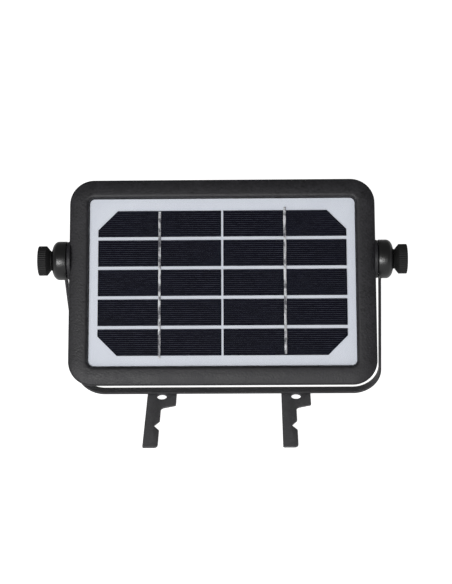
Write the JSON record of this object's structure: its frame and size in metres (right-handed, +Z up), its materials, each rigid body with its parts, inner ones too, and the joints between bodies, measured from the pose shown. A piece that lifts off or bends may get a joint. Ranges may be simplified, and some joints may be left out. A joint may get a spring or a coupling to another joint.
{
  "type": "solar flood light",
  "caption": "Flood lamp with a solar panel on its back, tilting between two thumb knobs on a U-shaped strap bracket with two notched foot plates.",
  "frame": {"origin": "centre of the bounding box's bottom face, on the floor under the foot plates", "axes": "+X to the right as seen from the solar side, along the knobs; +Y away from the solar side, towards the LED side; +Z up"},
  "size_m": [0.2348, 0.1073, 0.1465],
  "materials": {
    "strap_paint": "black powder coat",
    "clamp_plastic": "moulded black nylon, satin",
    "knob_plastic": "moulded black nylon, satin",
    "bright_steel": "zinc plated",
    "black_rubber": "matt",
    "brass": "turned",
    "case_plastic": "black ABS with a fine spark-eroded texture",
    "backsheet": "cool white laminate",
    "panel_film": "clear laminate, satin",
    "tinned_copper": "soldered ribbon",
    "solar_cell": "mono silicon with fine printed fingers",
    "led_board": "white solder mask",
    "white_reflector": "gloss white",
    "lens_clear": "clear, polished",
    "circuit_board": "green solder mask",
    "battery_sleeve": "blue shrink sleeve",
    "holder_plastic": "moulded",
    "button_rubber": "matt silicone",
    "lead_red": "PVC insulation",
    "lead_black": "PVC insulation"
  },
  "bodies": {
    "stand": {"bracket": "strap_paint", "foot_plate_left": "strap_paint", "foot_plate_right": "strap_paint", "clamp_cup_left": "clamp_plastic", "clamp_cup_right": "clamp_plastic"},
    "head": {"battery_1": "battery_sleeve", "battery_2": "battery_sleeve", "battery_holder": "holder_plastic", "battery_lead_black": "lead_black", "battery_lead_red": "lead_red", "case_screw_1": "bright_steel", "case_screw_2": "bright_steel", "case_screw_3": "bright_steel", "case_screw_4": "bright_steel", "case_screw_5": "bright_steel", "case_screw_6": "bright_steel", "cell_left_1": "solar_cell", "cell_left_2": "solar_cell", "cell_left_3": "solar_cell", "cell_left_4": "solar_cell", "cell_left_5": "solar_cell", "cell_ribbon_left": "tinned_copper", "cell_ribbon_right": "tinned_copper", "cell_right_1": "solar_cell", "cell_right_2": "solar_cell", "cell_right_3": "solar_cell", "cell_right_4": "solar_cell", "cell_right_5": "solar_cell", "control_board": "circuit_board", "friction_washer_left": "black_rubber", "friction_washer_right": "black_rubber", "lamp_shell": "case_plastic", "led_board": "led_board", "led_lead_black": "lead_black", "led_lead_red": "lead_red", "lens": "lens_clear", "lens_gasket": "black_rubber", "light_pipe": "lens_clear", "mode_switch": "bright_steel", "panel_backsheet": "backsheet", "panel_cover": "panel_film", "panel_lead_black": "lead_black", "panel_lead_red": "lead_red", "port_board": "circuit_board", "port_lead": "lead_black", "reflector": "white_reflector", "shell_gasket": "black_rubber", "solar_bezel": "case_plastic", "thread_insert_left": "brass", "thread_insert_right": "brass", "usb_socket": "bright_steel"},
    "knob_left_carrier": {"knob_washer_left": "bright_steel"},
    "knob_left_screw": {"knob_left": "knob_plastic", "knob_stud_left": "bright_steel"},
    "knob_right_carrier": {"knob_washer_right": "bright_steel"},
    "knob_right_screw": {"knob_right": "knob_plastic", "knob_stud_right": "bright_steel"},
    "mode_button": {"mode_button": "button_rubber"},
    "usb_flap": {"usb_flap": "button_rubber"}
  },
  "joints": [
    {"name": "head_tilt", "type": "hinge", "parent": "stand", "child": "head", "pos_m": [0, 0.00835, 0.1025], "axis": [1, 0, 0], "continuous": true},
    {"name": "knob_left_travel", "type": "slide", "parent": "stand", "child": "knob_left_carrier", "axis": [-1, 0, 0], "range_m": [0, 0.002]},
    {"name": "knob_left_turn", "type": "hinge", "parent": "knob_left_carrier", "child": "knob_left_screw", "pos_m": [-0.113, 0.00835, 0.1025], "axis": [-1, 0, 0], "range_deg": [0, 720]},
    {"name": "knob_right_travel", "type": "slide", "parent": "stand", "child": "knob_right_carrier", "axis": [1, 0, 0], "range_m": [0, 0.002]},
    {"name": "knob_right_turn", "type": "hinge", "parent": "knob_right_carrier", "child": "knob_right_screw", "pos_m": [0.113, 0.00835, 0.1025], "axis": [1, 0, 0], "range_deg": [0, 720]},
    {"name": "mode_button_press", "type": "slide", "parent": "head", "child": "mode_button", "axis": [0, -0.7771, 0.6293], "range_m": [0, 0.0008], "stiffness_N_per_m": 500, "springref_m": -0.001},
    {"name": "usb_flap_swing", "type": "hinge", "parent": "head", "child": "usb_flap", "pos_m": [0.0602, -0.01415, 0.03515], "axis": [-1, 0, 0], "range_deg": [0, 110]}
  ],
  "couplings": [
    {"joint": "knob_left_travel", "follows": "knob_left_turn", "m_per_rad": 0.000159},
    {"joint": "knob_right_travel", "follows": "knob_right_turn", "m_per_rad": 0.000159}
  ]
}
